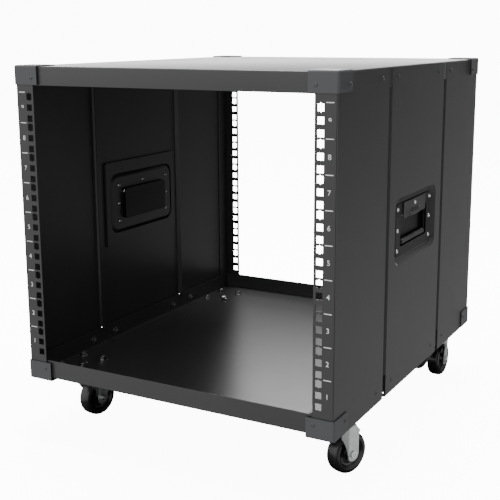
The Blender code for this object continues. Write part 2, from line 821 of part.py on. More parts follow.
def handle_spring(side):
    """The torsion spring wound round the middle of the pin."""
    curve = bpy.data.curves.new("handle_spring_" + side, "CURVE")
    curve.dimensions = "3D"
    curve.bevel_depth = SPRING_WIRE
    curve.bevel_resolution = 0
    curve.use_fill_caps = True
    per_turn = 8
    count = SPRING_TURNS * per_turn + 1
    line = curve.splines.new("POLY")
    line.points.add(count - 1)
    for k in range(count):
        angle = 2 * math.pi * k / per_turn
        along = -SPRING_HALF + 2 * SPRING_HALF * k / (count - 1)
        x, z = SPRING_RADIUS * math.cos(angle), SPRING_RADIUS * math.sin(angle)
        line.points[k].co = (x, along, z, 1)
    curve.materials.append(SPRING_STEEL)
    spring = bpy.data.objects.new("handle_spring_" + side, curve)
    spring.location = (SIDES[side] * HINGE_X, 0, HINGE_Z)
    PARTS.objects.link(spring)
    return spring


# ------------------------------------------------------------------- casters


def caster_plate(place):
    """The top plate with its upper race and its four bolts."""
    x, y = caster_places()[place]
    high = TRAY_BOTTOM - GAP
    low = high - PLATE_SHEET
    bm = bmesh.new()
    add_box(bm, (x - PLATE_HALF_X, y - PLATE_HALF_Y, low), (x + PLATE_HALF_X, y + PLATE_HALF_Y, high))
    plate = node("caster_plate_" + place, bm, ZINC)
    bm = bmesh.new()
    add_cylinder(bm, RACE_RADIUS, RACE_LOW, low + MM, (x, y), 24)
    boolean(plate, cutter("race_" + place, bm), "UNION")
    bm = bmesh.new()
    for sx in (-1, 1):
        for sy in (-1, 1):
            spot = (x + sx * BOLT_HALF_X, y + sy * BOLT_HALF_Y)
            add_cylinder(bm, BOLT_RADIUS, low + MM, high + 8.5 * MM, spot, 8)
    boolean(plate, cutter("shanks_" + place, bm), "UNION")
    bm = bmesh.new()
    nut_low = TRAY_BOTTOM + SHEET + GAP
    for sx in (-1, 1):
        for sy in (-1, 1):
            spot = (x + sx * BOLT_HALF_X, y + sy * BOLT_HALF_Y)
            add_cylinder(bm, NUT_RADIUS, nut_low, nut_low + NUT_HEIGHT, spot, 6)
    boolean(plate, cutter("nuts_" + place, bm), "UNION")
    bm = bmesh.new()
    add_cylinder(bm, KINGPIN_RADIUS + GAP, RACE_LOW - MM, high + MM, (x, y), 16)
    boolean(plate, cutter("race_bore_" + place, bm), "DIFFERENCE")
    return plate


def caster_kingpin(place):
    """The rivet that holds the fork under the plate."""
    x, y = caster_places()[place]
    profile = pin_profile(
        KINGPIN_RADIUS, KINGPIN_HEAD, CROWN_LOW - GAP, TRAY_BOTTOM, 3 * MM
    )
    pin = turned_pin("caster_kingpin_" + place, profile, ZINC, None, 12)
    pin.location = (x, y, 0)
    smooth(pin)
    return pin


def swivel_empty(place):
    """An empty on a caster's swivel axis; its +X is the trail direction."""
    made = bpy.data.objects.new("swivel_" + place, None)
    made.location = (*caster_places()[place], 0)
    made.rotation_euler = (0, 0, math.radians(SWIVEL_DEGREES[place]))
    PARTS.objects.link(made)
    return made


def leg_outline():
    """The fork's leg seen from its side, as (trail, height)."""
    top = CROWN_LOW + 2 * MM
    points = [(-3 * MM, top), (-3 * MM, CROWN_LOW - 7 * MM)]
    for degrees in range(215, 365, 25):
        angle = math.radians(degrees)
        points.append((
            TRAIL + LEG_TIP_RADIUS * math.cos(angle),
            WHEEL_RADIUS + LEG_TIP_RADIUS * math.sin(angle),
        ))
    points.append((LEG_TRAILING, WHEEL_RADIUS))
    points.append((LEG_TRAILING, 2 * WHEEL_RADIUS))
    points.append((LEG_TRAILING - 5 * MM, top))
    return points


def fork_leg(name, sy, swivel):
    """One leg: flat behind the fold, and flared out before it."""
    bm = bmesh.new()
    ring = [bm.verts.new((s, 0, z)) for s, z in leg_outline()]
    bm.faces.new(ring)
    bmesh.ops.bisect_plane(
        bm, geom=bm.verts[:] + bm.edges[:] + bm.faces[:],
        plane_co=(LEG_FOLD, 0, 0), plane_no=(1, 0, 0),
    )
    bm.normal_update()
    for face in bm.faces:
        if face.normal.y > 0:
            face.normal_flip()
    inner = bm.faces[:]
    grown = bmesh.ops.extrude_face_region(bm, geom=inner, use_keep_orig=True)["geom"]
    outer = [g for g in grown if isinstance(g, bmesh.types.BMVert)]
    bmesh.ops.translate(bm, vec=(0, LEG_SHEET, 0), verts=outer)
    for vert in bm.verts:
        ahead = max(LEG_FOLD - vert.co.x, 0)
        vert.co.y = sy * (LEG_INNER + vert.co.y + ahead * math.tan(WING_FLARE))
    bmesh.ops.recalc_face_normals(bm, faces=bm.faces[:])
    return cutter(name, bm, swivel)


def caster_fork(place, swivel):
    """The pressed fork: a round crown, its extension and two legs."""
    bm = bmesh.new()
    add_cylinder(bm, CROWN_RADIUS, CROWN_LOW, CROWN_HIGH, sides=24)
    fork = node("caster_fork_" + place, bm, ZINC, swivel)
    bm = bmesh.new()
    half = LEG_INNER + LEG_SHEET + 0.2 * MM
    low = (0, -half, CROWN_LOW + 0.4 * MM)
    add_box(bm, low, (LEG_TRAILING - 4 * MM, half, CROWN_LOW + 3.2 * MM))
    boolean(fork, cutter("crown_tail_" + place, bm, swivel), "UNION")
    for sy, tag in ((-1, "a"), (1, "b")):
        leg = fork_leg("leg_" + place + "_" + tag, sy, swivel)
        boolean(fork, leg, "UNION")
    bm = bmesh.new()
    add_cylinder(bm, KINGPIN_RADIUS + GAP, CROWN_LOW - 2 * MM, CROWN_HIGH + MM, sides=16)
    boolean(fork, cutter("crown_bore_" + place, bm, swivel), "DIFFERENCE")
    bm = bmesh.new()
    wide = LEG_INNER + 4 * LEG_SHEET
    centre = (TRAIL, WHEEL_RADIUS)
    add_cylinder(bm, AXLE_RADIUS + GAP, -wide, wide, centre, 12, "Y")
    boolean(fork, cutter("axle_bore_" + place, bm, swivel), "DIFFERENCE")
    if place in BRAKED:
        bm = bmesh.new()
        wide = BRAKE_STUB_HALF + 2 * MM
        centre = (BRAKE_PIN_S, BRAKE_PIN_Z)
        add_cylinder(bm, BRAKE_STUB + GAP, -wide, wide, centre, 12, "Y")
        boolean(fork, cutter("stub_bores_" + place, bm, swivel), "DIFFERENCE")
    return fork


def caster_axle(place, swivel):
    """The axle rivet through the fork and the wheel."""
    reach = LEG_INNER + LEG_SHEET + GAP
    profile = pin_profile(AXLE_RADIUS, AXLE_HEAD, -reach, reach, 2.6 * MM)
    axle = turned_pin("caster_axle_" + place, profile, STEEL, swivel, 12)
    axle.rotation_euler = (math.pi / 2, 0, 0)
    axle.location = (TRAIL, 0, WHEEL_RADIUS)
    smooth(axle)
    return axle


def caster_wheel(place, swivel):
    """The moulded wheel: hub, thin web and a crowned tread."""
    tread = WHEEL_RADIUS
    hub = LEG_INNER - 0.7 * MM
    half = [
        (WHEEL_BORE, hub),
        (8 * MM, hub),
        (9.5 * MM, 4.5 * MM),
        (20 * MM, 4.5 * MM),
        (22.5 * MM, WHEEL_HALF - 0.6 * MM),
        (tread - 4 * MM, WHEEL_HALF),
        (tread - 0.9 * MM, WHEEL_HALF - 3 * MM),
        (tread, WHEEL_HALF - 6 * MM),
    ]
    profile = half + [(r, -z) for r, z in reversed(half)]
    wheel = turned("caster_wheel_" + place, profile, WHEEL, swivel, 24)
    wheel.rotation_euler = (math.pi / 2, 0, 0)
    wheel.location = (TRAIL, 0, WHEEL_RADIUS)
    smooth(wheel)
    return wheel


def brake_pedal(place, swivel):
    """The foot lever ahead of the wheel, with a shoe that swings to the tread."""
    run, fall = BRAKE_TIP_S - BRAKE_PIN_S, BRAKE_TIP_Z - BRAKE_PIN_Z
    bm = bmesh.new()
    low = (run, -BRAKE_HALF, -BRAKE_SHEET / 2)
    add_box(bm, low, (0, BRAKE_HALF, BRAKE_SHEET / 2))
    for vert in bm.verts:
        vert.co.z += vert.co.x / run * fall
    pedal = node("caster_brake_" + place, bm, PEDAL, swivel)
    pedal.location = (BRAKE_PIN_S, 0, BRAKE_PIN_Z)
    bm = bmesh.new()
    low = (-BRAKE_SHEET / 2, -BRAKE_HALF + MM, -BRAKE_SHOE_DROP)
    add_box(bm, low, (BRAKE_SHEET / 2, BRAKE_HALF - MM, 0))
    boolean(pedal, cutter("brake_shoe_" + place, bm, pedal), "UNION")
    bm = bmesh.new()
    add_cylinder(bm, BRAKE_BARREL, -BRAKE_BARREL_HALF, BRAKE_BARREL_HALF, sides=12, axis="Y")
    boolean(pedal, cutter("brake_barrel_" + place, bm, pedal), "UNION")
    bm = bmesh.new()
    add_cylinder(bm, BRAKE_STUB, -BRAKE_STUB_HALF, BRAKE_STUB_HALF, sides=12, axis="Y")
    boolean(pedal, cutter("brake_stubs_" + place, bm, pedal), "UNION")
    return pedal


def casters():
    """All four casters."""
    for place in caster_places():
        caster_plate(place)
        caster_kingpin(place)
        swivel = swivel_empty(place)
        caster_fork(place, swivel)
        caster_axle(place, swivel)
        caster_wheel(place, swivel)
        if place in BRAKED:
            brake_pedal(place, swivel)


def handles():
    """Both carrying handles."""
    for side in SIDES:
        handle_backing(side)
        handle_dish(side)
        handle_flap(side)
        hinge = hinge_empty(side)
        handle_bail(side, hinge)
        handle_grip(side, hinge)
        handle_pin(side)
        handle_spring(side)


def chassis():
    """Tray, lid, rails, side panels and corner caps."""
    base_tray()
    top_panel()
    for side in SIDES:
        side_panel_middle(side)
        for end in ENDS:
            rail(end, side)
            side_panel_end(end, side)
            for level in ("top", "bottom"):
                corner_cap(level, end, side)


chassis()
handles()
casters()
bpy.context.view_layer.update()
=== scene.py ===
"""Looks of the rolling equipment rack case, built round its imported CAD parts."""

import json
import math

import bmesh
import bpy
from mathutils import Matrix, Vector


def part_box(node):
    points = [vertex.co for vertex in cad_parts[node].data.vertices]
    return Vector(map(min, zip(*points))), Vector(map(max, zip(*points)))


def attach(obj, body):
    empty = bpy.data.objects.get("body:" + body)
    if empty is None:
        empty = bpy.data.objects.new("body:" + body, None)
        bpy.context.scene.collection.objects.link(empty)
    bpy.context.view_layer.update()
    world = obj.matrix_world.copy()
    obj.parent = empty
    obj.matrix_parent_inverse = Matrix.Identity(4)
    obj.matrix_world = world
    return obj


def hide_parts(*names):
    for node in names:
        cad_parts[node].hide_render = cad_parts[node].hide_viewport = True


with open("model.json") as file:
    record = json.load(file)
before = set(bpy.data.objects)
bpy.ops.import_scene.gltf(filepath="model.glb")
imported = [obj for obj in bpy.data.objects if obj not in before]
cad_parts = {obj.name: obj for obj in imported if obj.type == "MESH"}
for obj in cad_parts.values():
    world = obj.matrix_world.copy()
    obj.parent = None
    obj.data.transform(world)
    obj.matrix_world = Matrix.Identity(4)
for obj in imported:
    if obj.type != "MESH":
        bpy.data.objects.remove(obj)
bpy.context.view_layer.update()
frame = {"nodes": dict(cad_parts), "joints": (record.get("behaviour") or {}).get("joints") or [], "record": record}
RECORD = frame["record"]
NODES = frame["nodes"]
JOINTS = {j["name"]: j for j in frame["joints"]}
BODIES = RECORD["behaviour"]["bodies"]
MM = 0.001
SIDES = {"left": -1, "right": 1}
ENDS = {"front": -1, "rear": 1}
PLACES = [e + "_" + s for e in ENDS for s in SIDES]
PIECES = bpy.data.collections.new("looks")
bpy.context.scene.collection.children.link(PIECES)


# ------------------------------------------------------------------ materials


class Shader:
    """A Principled material whose nodes are chained in code."""

    def __init__(self, name, colour, roughness, metallic=0.0, **more):
        self.made = bpy.data.materials.new(name)
        self.made.use_nodes = True
        self.tree = self.made.node_tree
        self.out = self.tree.nodes["Principled BSDF"]
        self.set("Base Color", (*colour, 1))
        self.set("Roughness", roughness)
        self.set("Metallic", metallic)
        for key, value in more.items():
            self.set(key.replace("_", " "), value)
        self.colour = colour
        self.roughness = roughness
        self.where = self.node("ShaderNodeTexCoord").outputs["Object"]
        self.height = None

    def set(self, socket, value):
        self.out.inputs[socket].default_value = value

    def node(self, kind, **inputs):
        made = self.tree.nodes.new(kind)
        for key, value in inputs.items():
            socket = made.inputs[key.replace("_", " ")]
            if isinstance(value, bpy.types.NodeSocket):
                self.tree.links.new(value, socket)
            else:
                socket.default_value = value
        return made

    def noise(self, scale, detail=3.0, rough=0.5, stretch=(1, 1, 1)):
        where = self.node("ShaderNodeMapping", Vector=self.where, Scale=stretch)
        made = self.node(
            "ShaderNodeTexNoise", Vector=where.outputs["Vector"], Scale=scale,
            Detail=detail, Roughness=rough,
        )
        return made.outputs["Fac"]

    def spread(self, fac, low, high, from_low=0.3, from_high=0.7):
        made = self.node("ShaderNodeMapRange", Value=fac)
        made.inputs["From Min"].default_value = from_low
        made.inputs["From Max"].default_value = from_high
        made.inputs["To Min"].default_value = low
        made.inputs["To Max"].default_value = high
        return made.outputs["Result"]

    def tint(self, fac, other, most=1.0, from_low=0.3, from_high=0.7):
        """Mixes another colour over what the base colour is."""
        mix = self.node("ShaderNodeMix")
        mix.data_type = "RGBA"
        share = self.spread(fac, 0.0, most, from_low, from_high)
        self.tree.links.new(share, mix.inputs["Factor"])
        before = self.out.inputs["Base Color"]
        if before.links:
            self.tree.links.new(before.links[0].from_socket, mix.inputs[6])
        else:
            mix.inputs[6].default_value = (*self.colour, 1)
        mix.inputs[7].default_value = (*other, 1)
        self.tree.links.new(mix.outputs[2], before)
        return self

    def vary_roughness(self, fac, low, high):
        self.tree.links.new(self.spread(fac, low, high), self.out.inputs["Roughness"])
        return self

    def bump(self, fac, distance, strength=1.0):
        made = self.node("ShaderNodeBump", Height=fac, Distance=distance, Strength=strength)
        if self.height is not None:
            self.tree.links.new(self.height, made.inputs["Normal"])
        self.height = made.outputs["Normal"]
        self.tree.links.new(self.height, self.out.inputs["Normal"])
        return self


def powder_coat(name, colour, roughness, grain=1.0, ior=1.5):
    """Black powder coat: fine orange peel, faint clouds of wear."""
    s = Shader(name, colour, roughness, IOR=ior)
    light = tuple(c * 1.22 for c in colour)
    s.tint(s.noise(9, 4, 0.6), light, 0.5)
    s.tint(s.noise(1500, 2, 0.6), tuple(c * 1.5 for c in colour), 0.45, 0.55, 0.8)
    s.vary_roughness(s.noise(26, 5, 0.62), roughness - 0.008, roughness + 0.012)
    s.bump(s.noise(420, 2, 0.5), 0.00004 * grain, 0.35)
    s.bump(s.noise(1900, 3, 0.6), 0.00002 * grain, 0.45)
    return s.made


def zinc_plate(name, colour, roughness, stretch=(1, 1, 1)):
    """Pressed zinc-plated steel, with clouds and fine drawn lines."""
    s = Shader(name, colour, roughness, 1.0)
    s.tint(s.noise(140, 5, 0.65), tuple(c * 0.74 for c in colour), 0.7)
    s.tint(s.noise(900, 2, 0.5), tuple(min(1, c * 1.12) for c in colour), 0.5)
    s.vary_roughness(s.noise(260, 4, 0.6), roughness - 0.07, roughness + 0.09)
    s.bump(s.noise(700, 3, 0.55, stretch), 0.00002, 0.5)
    return s.made


def plastic(name, colour, roughness, grain):
    """Moulded plastic: faint flow marks and a skin of fine grain."""
    s = Shader(name, colour, roughness, IOR=1.49)
    s.tint(s.noise(70, 4, 0.6), tuple(c * 1.8 for c in colour), 0.6)
    s.vary_roughness(s.noise(120, 4, 0.6), roughness - 0.05, roughness + 0.08)
    s.bump(s.noise(900, 3, 0.6), grain, 0.4)
    return s.made


def rubber(name, colour):
    """Soft black rubber with dust caught in its grain."""
    s = Shader(name, colour, 0.55, IOR=1.5)
    s.tint(s.noise(380, 4, 0.7), tuple(c * 2.4 + 0.004 for c in colour), 0.5, 0.5, 0.75)
    s.vary_roughness(s.noise(240, 4, 0.6), 0.46, 0.62)
    s.bump(s.noise(1300, 3, 0.6), 0.00004, 0.5)
    return s.made


def white_print(name):
    """Screen-printed white ink, slightly thin in places."""
    s = Shader(name, (0.86, 0.87, 0.88), 0.5)
    s.tint(s.noise(1800, 3, 0.6), (0.6, 0.61, 0.62), 0.5, 0.55, 0.8)
    s.vary_roughness(s.noise(900, 2, 0.5), 0.44, 0.56)
    s.bump(s.noise(1900, 3, 0.6), 0.00002, 0.4)
    return s.made


def floor_paper(name):
    """Seamless white paper, lit from within like a light table."""
    s = Shader(name, (0.93, 0.93, 0.93), 0.75, Emission_Strength=11.0)
    s.set("Emission Color", (1, 1, 1, 1))
    s.tint(s.noise(2.2, 3, 0.5), (0.9, 0.9, 0.905), 0.5)
    s.vary_roughness(s.noise(60, 3, 0.5), 0.7, 0.8)
    return s.made


LOOKS = {
    "powder_coat": powder_coat("powder_coat_look", (0.029, 0.0292, 0.03), 0.35),
    # handle coat: near black. This is partly the dish's own darker, less glossy coat and partly painted shade,
    # darkened so the bail's eye at the hinge looks shadowed
    "handle_coat": powder_coat("handle_coat_and_shade_look", (0.004, 0.004, 0.0042), 0.34, 0.7, 1.3),
    "zinc": zinc_plate("zinc_look", (0.6, 0.63, 0.62), 0.4, (1, 1, 0.2)),
    "bright_steel": zinc_plate("bright_steel_look", (0.78, 0.79, 0.8), 0.24),
    "spring_steel": zinc_plate("spring_steel_look", (0.34, 0.33, 0.32), 0.3),
    "wheel_plastic": plastic("wheel_look", (0.014, 0.014, 0.0145), 0.22, 0.00001),
    "grip_rubber": rubber("grip_look", (0.045, 0.045, 0.045)),
    "pedal_plastic": plastic("pedal_look", (0.012, 0.012, 0.012), 0.42, 0.00004),
}
CAP_LOOK = powder_coat("cap_look", (0.052, 0.054, 0.058), 0.4, 1.2)
FLAP_LOOK = powder_coat("flap_look", (0.022, 0.022, 0.023), 0.34, 0.8)
# screw heads: coated lighter than the powder coat, a painted highlight standing for the glints on their rims
SCREW_GLINT_LOOK = powder_coat("screw_glint_look", (0.06, 0.061, 0.063), 0.25, 0.4)
# hem coat: lighter than the powder coat, a painted highlight along the top edge of the tray's lips
HEM_HIGHLIGHT_LOOK = powder_coat("hem_highlight_look", (0.05, 0.051, 0.053), 0.18, 0.3)
BOLT_LOOK = zinc_plate("bolt_look", (0.35, 0.35, 0.34), 0.28)
PRINT_LOOK = white_print("print_look")


# -------------------------------------------------------------------- helpers


def piece(name, bm, look, body, slot, *stands_for):
    """Makes a piece of a bmesh in the row frame, riding on a body."""
    bmesh.ops.recalc_face_normals(bm, faces=bm.faces[:])
    mesh = bpy.data.meshes.new(name)
    bm.to_mesh(mesh)
    bm.free()
    mesh.materials.append(look)
    made = bpy.data.objects.new(name, mesh)
    PIECES.objects.link(made)
    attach(made, body)
    if stands_for:
        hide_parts(*stands_for)
    return made


def smooth(made, degrees=32):
    made.data.shade_smooth()
    made.data.set_sharp_from_angle(angle=math.radians(degrees))
    return made


def bevel(made, width, segments=2, degrees=30):
    step = made.modifiers.new("edge", "BEVEL")
    step.width = width
    step.segments = segments
    step.limit_method = "ANGLE"
    step.angle_limit = math.radians(degrees)
    step.harden_normals = True
    return step


def body_of(node):
    return next(b for b, members in BODIES.items() if node in members)


def turned(bm, profile, sides, matrix, closed=True):
    """Adds a lathed form: profile of (radius, along) about local Z."""
    rings = []
    for r, z in profile:
        if r < 1e-7:
            rings.append([bm.verts.new(matrix @ Vector((0, 0, z)))])
            continue
        rings.append([
            bm.verts.new(matrix @ Vector((
                r * math.cos(2 * math.pi * k / sides),
                r * math.sin(2 * math.pi * k / sides), z,
            )))
            for k in range(sides)
        ])
    pairs = list(zip(rings, rings[1:]))
    if closed:
        pairs.append((rings[-1], rings[0]))
    for a, b in pairs:
        if len(a) == 1 and len(b) == 1:
            continue
        for k in range(sides):
            n = (k + 1) % sides
            if len(a) == 1:
                bm.faces.new((a[0], b[k], b[n]))
            elif len(b) == 1:
                bm.faces.new((a[k], a[n], b[0]))
            else:
                bm.faces.new((a[k], a[n], b[n], b[k]))


def arc(cx, cz, r, start, stop, steps):
    """Points of an arc, degrees, for a profile or an outline."""
    return [
        (
            cx + r * math.cos(math.radians(start + (stop - start) * k / steps)),
            cz + r * math.sin(math.radians(start + (stop - start) * k / steps)),
        )
        for k in range(steps + 1)
    ]


def prism(bm, outline, low, high, matrix):
    """Adds an outline of (x, y) raised from low to high along local Z."""
    a = [bm.verts.new(matrix @ Vector((x, y, low))) for x, y in outline]
    b = [bm.verts.new(matrix @ Vector((x, y, high))) for x, y in outline]
    bm.faces.new(a)
    bm.faces.new(b)
    for k in range(len(a)):
        n = (k + 1) % len(a)
        bm.faces.new((a[k], a[n], b[n], b[k]))


def hexagon(radius, turn=0.0):
    return [
        (radius * math.cos(turn + math.pi * k / 3), radius * math.sin(turn + math.pi * k / 3))
        for k in range(6)
    ]


def facing(point, normal, spin=0.0):
    """A matrix at a point whose local Z is the normal."""
    turn = Vector(normal).to_track_quat("Z", "Y").to_matrix().to_4x4()
    return Matrix.Translation(point) @ turn @ Matrix.Rotation(spin, 4, "Z")


# ------------------------------------------------------- carried-over CAD nodes

for entry in RECORD["subparts"]:
    node = NODES[entry["node"]]
    look = LOOKS[entry["material_slot"]]
    if entry["node"].startswith("corner_cap"):
        look = CAP_LOOK
    node.data.materials.clear()
    node.data.materials.append(look)
    if entry["node"].startswith(("rail_", "side_panel", "handle_")):
        bevel(node, 0.35 * MM, 2)


# ------------------------------------------------------------ lid and base tray


def folded_pan(name, low, high, lip_end, up, slot):
    """A sheet-metal pan: a flat face and four lips with rounded bends."""
    bm = bmesh.new()
    z_face = high.z if up < 0 else low.z
    corners = [(low.x, low.y), (high.x, low.y), (high.x, high.y), (low.x, high.y)]
    face = [bm.verts.new((x, y, z_face)) for x, y in corners]
    lip = [bm.verts.new((x, y, lip_end)) for x, y in corners]
    bm.faces.new(face)
    for k in range(4):
        n = (k + 1) % 4
        bm.faces.new((face[k], face[n], lip[n], lip[k]))
    bmesh.ops.recalc_face_normals(bm, faces=bm.faces[:])
    inner_z = (z_face + lip_end) / 2
    for f in bm.faces:
        outward = f.calc_center_median() - Vector((0, 0, inner_z))
        if f.normal.dot(outward) < 0:
            f.normal_flip()
    bmesh.ops.bevel(
        bm, geom=[e for e in bm.edges if not e.is_boundary], offset=2.0 * MM,
        segments=4, profile=0.5, affect="EDGES",
    )
    mesh = bpy.data.meshes.new(name + "_skin")
    bm.to_mesh(mesh)
    bm.free()
    mesh.materials.append(LOOKS[slot])
    made = bpy.data.objects.new(name + "_skin", mesh)
    PIECES.objects.link(made)
    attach(made, body_of(name))
    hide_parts(name)
    sheet = made.modifiers.new("sheet", "SOLIDIFY")
    sheet.thickness = 1.2 * MM
    sheet.offset = -1
    sheet.use_even_offset = True
    smooth(made, 40)
    bevel(made, 0.55 * MM, 4, 50)
    return made


SNUG = 0.47 * MM
lid_low, lid_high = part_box("top_panel")
folded_pan("top_panel", lid_low, lid_high, lid_low.z - SNUG, -1, "powder_coat")
tray_low, tray_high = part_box("base_tray")
tray_base = tray_low - Vector((0, 0, 0.24 * MM))
folded_pan("base_tray", tray_base, tray_high, tray_high.z + SNUG, 1, "powder_coat")
TRAY_FLOOR = tray_low.z + 1.2 * MM


def lip_hem(sy):
    """The rounded hem along the top of the tray's front or rear lip; its lighter coat is a painted highlight along
    the edge.
    """
    bm = bmesh.new()
    radius = 1.2 * MM
    reach = tray_high.x - 44 * MM
    y = sy * (tray_high.y - radius)
    z = tray_high.z + SNUG - radius
    along = Matrix.Translation((0, y, z)) @ Matrix.Rotation(math.pi / 2, 4, "Y")
    turned(bm, [
        (0, reach), (radius * 0.8, reach), (radius, reach - 0.4 * MM),
        (radius, 0.4 * MM - reach), (radius * 0.8, -reach), (0, -reach),
    ], 28, along, closed=False)
    name = "tray_hem_" + ("rear" if sy > 0 else "front")
    smooth(piece(name, bm, HEM_HIGHLIGHT_LOOK, "case", "powder_coat"))


def seam_edges():
    """The side panels' edges where they pass outside the lips of tray and lid."""
    bm = bmesh.new()
    for side, sx in SIDES.items():
        end_low, end_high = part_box("side_panel_" + side + "_rear")
        middle_low, middle_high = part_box("side_panel_" + side + "_middle")
        face_x = max(abs(end_low.x), abs(end_high.x)) - 1.2 * MM
        back_x = tray_high.x + 0.3 * MM
        fold_y, edge_y = 114 * MM, 126 * MM
        for sy in (-1, 1):
            for near, far in ((fold_y - 1.2 * MM, fold_y), (edge_y, edge_y + 1.2 * MM)):
                outline = [
                    (sx * back_x, sy * near), (sx * face_x, sy * near),
                    (sx * face_x, sy * far), (sx * back_x, sy * far),
                ]
                for low, high in (
                    (middle_low.z + 0.2 * MM, tray_high.z + 0.8 * MM),
                    (lid_low.z - 0.8 * MM, middle_high.z - 0.2 * MM),
                ):
                    prism(bm, outline, low, high, Matrix.Identity(4))
    piece("seam_edges", bm, LOOKS["powder_coat"], "case", "powder_coat")


for sy in ENDS.values():
    lip_hem(sy)
seam_edges()


# ------------------------------------------------------------------ rail prints

UNIT = 44.45 * MM
UNIT_ONE = 129 * MM
MARK_X = 245.3 * MM
FILM = 0.06 * MM


def digit(bm, text, x, y, z, height):
    """Adds a printed numeral facing -Y, its middle at (x, z)."""
    curve = bpy.data.curves.new("digit", "FONT")
    curve.body = text
    curve.size = height / 0.72
    curve.offset = 0.1 * MM
    curve.align_x = "CENTER"
    made = bpy.data.objects.new("digit", curve)
    PIECES.objects.link(made)
    bpy.context.view_layer.update()
    mesh = bpy.data.meshes.new_from_object(
        made.evaluated_get(bpy.context.evaluated_depsgraph_get())
    )
    xs = [v.co.x for v in mesh.vertices]
    ys = [v.co.y for v in mesh.vertices]
    shift = Matrix.Translation((-(min(xs) + max(xs)) / 2, -(min(ys) + max(ys)) / 2, 0))
    mesh.transform(Matrix.Translation((x, y, z)) @ Matrix.Rotation(math.pi / 2, 4, "X") @ shift)
    bm.from_mesh(mesh)
    bpy.data.objects.remove(made)
    bpy.data.meshes.remove(mesh)


for side, sx in SIDES.items():
    face_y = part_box("rail_front_" + side)[0].y - FILM
    bm = bmesh.new()
    for unit in range(1, 10):
        z = UNIT_ONE + UNIT * (unit - 0.5)
        digit(bm, str(unit), sx * MARK_X, face_y, z, 7.0 * MM)
        top = UNIT_ONE + UNIT * unit
        half_x, half_z = 5.6 * MM, 0.62 * MM
        round_end = arc(half_x - half_z, 0, half_z, -90, 90, 4)
        outline = round_end + [(-x, z) for x, z in reversed(round_end)]
        stand = Matrix.Translation((sx * MARK_X, face_y, top))
        stand = stand @ Matrix.Rotation(math.pi / 2, 4, "X")
        bm.faces.new([bm.verts.new(stand @ Vector((x, z, 0))) for x, z in outline])
    for f in bm.faces:
        f.normal_update()
        if f.normal.y > 0:
            f.normal_flip()
    mesh = bpy.data.meshes.new("rail_print_" + side)
    bm.to_mesh(mesh)
    bm.free()
    mesh.materials.append(PRINT_LOOK)
    printed = bpy.data.objects.new("rail_print_" + side, mesh)
    PIECES.objects.link(printed)
    film = printed.modifiers.new("film", "SOLIDIFY")
    film.thickness = 0.05 * MM
    film.offset = -1
    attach(printed, "case")


# ------------------------------------------------------------- screws, rivets


def screw_head(bm, matrix, radius, height):
    """A low button head with a hexagon socket."""
    socket = radius * 0.42
    turned(bm, [
        (socket, height * 0.92), (radius * 0.55, height),
        (radius * 0.82, height * 0.82), (radius * 0.96, height * 0.45),
        (radius, height * 0.12), (radius, -0.1 * MM), (0, -0.1 * MM),
    ], 28, matrix, closed=False)
    ring = [bm.verts.new(matrix @ Vector((x, y, height * 0.9))) for x, y in hexagon(socket * 1.04)]
    deep = [bm.verts.new(matrix @ Vector((x, y, height * 0.5))) for x, y in hexagon(socket)]
    bm.faces.new(deep)
    for k in range(6):
        n = (k + 1) % 6
        bm.faces.new((ring[k], ring[n], deep[n], deep[k]))


def rivet_dome(bm, matrix, radius, height, dimple=0.35):
    """A pulled rivet: a dome with the small dimple its mandrel leaves."""
    hole = radius * dimple
    turned(bm, [
        (0, height * 0.55), (hole * 0.8, height * 0.6), (hole, height * 0.98),
        (radius * 0.6, height * 0.9), (radius * 0.86, height * 0.62),
        (radius * 0.98, height * 0.25), (radius, 0), (radius, -0.1 * MM), (0, -0.1 * MM),
    ], 24, matrix, closed=False)


bm = bmesh.new()
for level in ("top", "bottom"):
    for place in PLACES:
        low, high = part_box("corner_cap_" + level + "_" + place)
        end, side = place.split("_")
        sx, sy = SIDES[side], ENDS[end]
        z = high.z - 18.2 * MM if level == "top" else low.z + 19.7 * MM
        y = high.y if sy > 0 else low.y
        x = high.x if sx > 0 else low.x
        screw_head(bm, facing((sx * 226 * MM, y, z), (0, sy, 0), 0.3), 2.9 * MM, 1.1 * MM)
        screw_head(bm, facing((x, sy * 265.5 * MM, z), (sx, 0, 0), 0.8), 2.9 * MM, 1.1 * MM)
smooth(piece("cap_screws", bm, SCREW_GLINT_LOOK, "case", "powder_coat"))

bm = bmesh.new()
nuts = bmesh.new()
for side, sx in SIDES.items():
    low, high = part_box("side_panel_" + side + "_middle")
    face_x = high.x if sx > 0 else low.x
    lip_x = (tray_high.x if sx > 0 else tray_low.x) - sx * 1.2 * MM
    for z in (552 * MM, 107.5 * MM):
        for y in (-150 * MM, -90 * MM, 90 * MM, 150 * MM):
            screw_head(bm, facing((face_x, y, z), (sx, 0, 0), y * 30), 3 * MM, 1.0 * MM)
            inward = facing((lip_x, y, z), (-sx, 0, 0), y * 17)
            turned(nuts, [
                (2.2 * MM, 0.02 * MM), (5.4 * MM, 0.02 * MM), (5.5 * MM, 0.4 * MM),
                (5.3 * MM, 0.8 * MM), (2.2 * MM, 0.8 * MM),
            ], 28, inward)
            prism(nuts, hexagon(4.4 * MM), 0.8 * MM, 3.2 * MM, inward)
            turned(nuts, [
                (0, 5.4 * MM), (1.7 * MM, 5.4 * MM), (2.1 * MM, 4.9 * MM),
                (2.1 * MM, 3 * MM), (0, 3 * MM),
            ], 20, inward, closed=False)
smooth(piece("panel_screws", bm, SCREW_GLINT_LOOK, "case", "powder_coat"))
bevel(smooth(piece("panel_nuts", nuts, BOLT_LOOK, "case", "powder_coat"), 30), 0.25 * MM, 2, 40)

